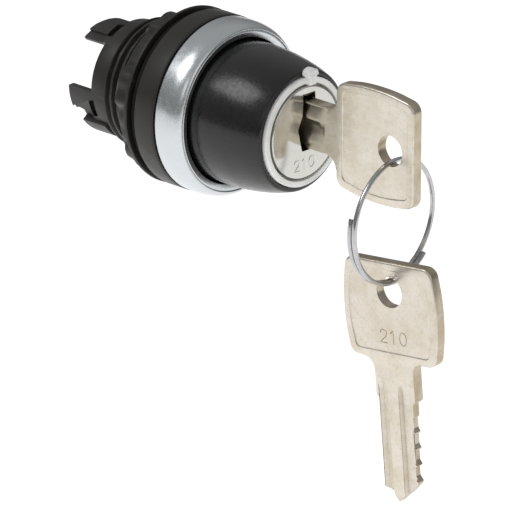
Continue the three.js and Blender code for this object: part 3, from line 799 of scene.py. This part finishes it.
def key_blank(name):
    """One key about its hole's centre, in (u, v, thickness)."""
    k = KEY
    half = k["thickness"] / 2
    blank = stack(name, bow_outline(), round_edges(-half, half, 0.38), "XY")
    blade = stack("blade", blade_outline(), round_edges(-half + 0.001, half - 0.001, 0.09, 2), "XY")
    join(blank, blade)
    hole = arc(0, 0, k["hole"], 0, 360, 64)[:-1]
    flare = [(half + 0.5, -0.62), (half - 0.12, 0)]
    cut(blank, stack("hole", hole, [(-a, b) for a, b in flare] + flare[::-1], "XY"))
    panel = bow_outline(1.25, 1.0)
    for face in (-1, 1):
        levels = [(face * (half + 0.5), 0), (face * (half - 0.04), 0), (face * (half - 0.14), 0.16)]
        cut(blank, stack("panel", panel, levels, "XY"))
    return cut(
        blank,
        groove_tool([(1.6, 0.0), (3.45, 0.66), (3.65, 0.6)], -1, k["shoulder"] - 4.0, 7.0),
        groove_tool([(-2.2, 0.0), (-0.8, 0.6), (0.1, 0.66), (1.15, 0.0)], -1, k["shoulder"] - 4.1, 7.0),
        groove_tool([(-3.45, 0.15), (-3.1, 0.42), (-2.9, 0.6), (-1.75, 0.6), (-1.6, 0.1)], 1,
                    k["shoulder"] - 3.2),
        groove_tool([(0.6, 0.1), (0.95, 0.6), (2.9, 0.66), (3.25, 0.15)], 1, k["shoulder"] - 3.4, 9.0))


def place_key(piece, matrix):
    piece.data.transform(matrix)
    piece.data.update()
    return piece


def key_axes(u, v, w, origin):
    """The matrix that takes a key's own axes to those directions at that point."""
    turn = Matrix((Vector(u), Vector(v), Vector(w))).transposed().to_4x4()
    return Matrix.Translation(Vector(origin)) @ turn


RING = {"radius": 10.25, "wire": 0.425, "turns": 1.42, "gap": 0.1, "yaw": 3.5, "start": 136.0}
RING_CENTRE = (KEY_PLACE[0], KEY_PLACE[1], -0.35 - RING["radius"])
SPARE = {"drop": 1.8, "lean": 5.3}


def key_in_lock():
    blank = key_blank("key_in_lock_milled")
    return place_key(blank, key_axes((0, 1, 0), (0, 0, 1), (1, 0, 0), KEY_PLACE))


def spare_key():
    blank = key_blank("spare_key_milled")
    half = KEY["thickness"] / 2 - 0.14
    number = engraving(Vector((7.6, 0.3, half)), 2.2, Vector((0, 1, 0)), Vector((-1, 0, 0)),
                       Vector((0, 0, -1)))
    cut(blank, *number)
    lean, yaw = math.radians(SPARE["lean"]), Matrix.Rotation(math.radians(RING["yaw"]), 3, "Z")
    down = yaw @ Vector((0, -math.sin(lean), -math.cos(lean)))
    front = yaw @ Vector((0, -math.cos(lean), math.sin(lean)))
    z = RING_CENTRE[2] - RING["radius"] - SPARE["drop"]
    return place_key(blank, key_axes(down, front, down.cross(front), (*RING_CENTRE[:2], z)))


def split_ring():
    """Hard wire wound a turn and a half, with square-cut ends."""
    r = RING
    pitch = 2 * r["wire"] + r["gap"]
    steps, sides = 260, 16
    points, faces = [], []
    yaw = Matrix.Rotation(math.radians(r["yaw"]), 3, "Z")
    for i in range(steps + 1):
        t = i / steps
        angle = math.radians(r["start"]) + 2 * math.pi * r["turns"] * t
        out = Vector((math.sin(angle), 0, math.cos(angle)))
        middle = out * r["radius"] + Vector((0, pitch * r["turns"] * (t - 0.5), 0))
        for j in range(sides):
            turn = 2 * math.pi * j / sides
            flat = r["wire"] * (0.9 if abs(math.cos(turn)) > 0.85 else 1.0)
            rim = out * (flat * math.cos(turn)) + Vector((0, r["wire"] * math.sin(turn), 0))
            points.append(yaw @ (middle + rim) + Vector(RING_CENTRE))
    for i in range(steps):
        a, b = i * sides, (i + 1) * sides
        faces += [(a + j, a + (j + 1) % sides, b + (j + 1) % sides, b + j) for j in range(sides)]
    faces += [tuple(range(sides)), tuple(range(len(points) - 1, len(points) - sides - 1, -1))]
    return from_faces("split_ring_wound", points, faces)


# ----------------------------------------------------------------------------- assembly

add_camera()
add_sky()
add_stage()
bpy.context.scene.view_settings.view_transform = "Standard"

for node, piece in frame["nodes"].items():
    dress(piece, SLOT_OF[node])

hand_over(bezel_ring(), "bezel_ring", "housing")
hand_over(body_tube(), "body_tube", "housing")
hand_over(panel_gasket(), "panel_gasket", "housing")
hand_over(clamp_washer(), "clamp_washer", "washer")
hand_over(clamp_nut(), "clamp_nut", "nut")
hand_over(selector_cone(), "selector_cone", "rotor")
hand_over(index_ring(), "index_ring", "rotor")
hand_over(lock_plug(), "lock_plug", "rotor", 25)
hand_over(key_in_lock(), "key_in_lock", "key", 25)
hand_over(spare_key(), "spare_key", "spare", 25)
hand_over(split_ring(), "split_ring", "ring")
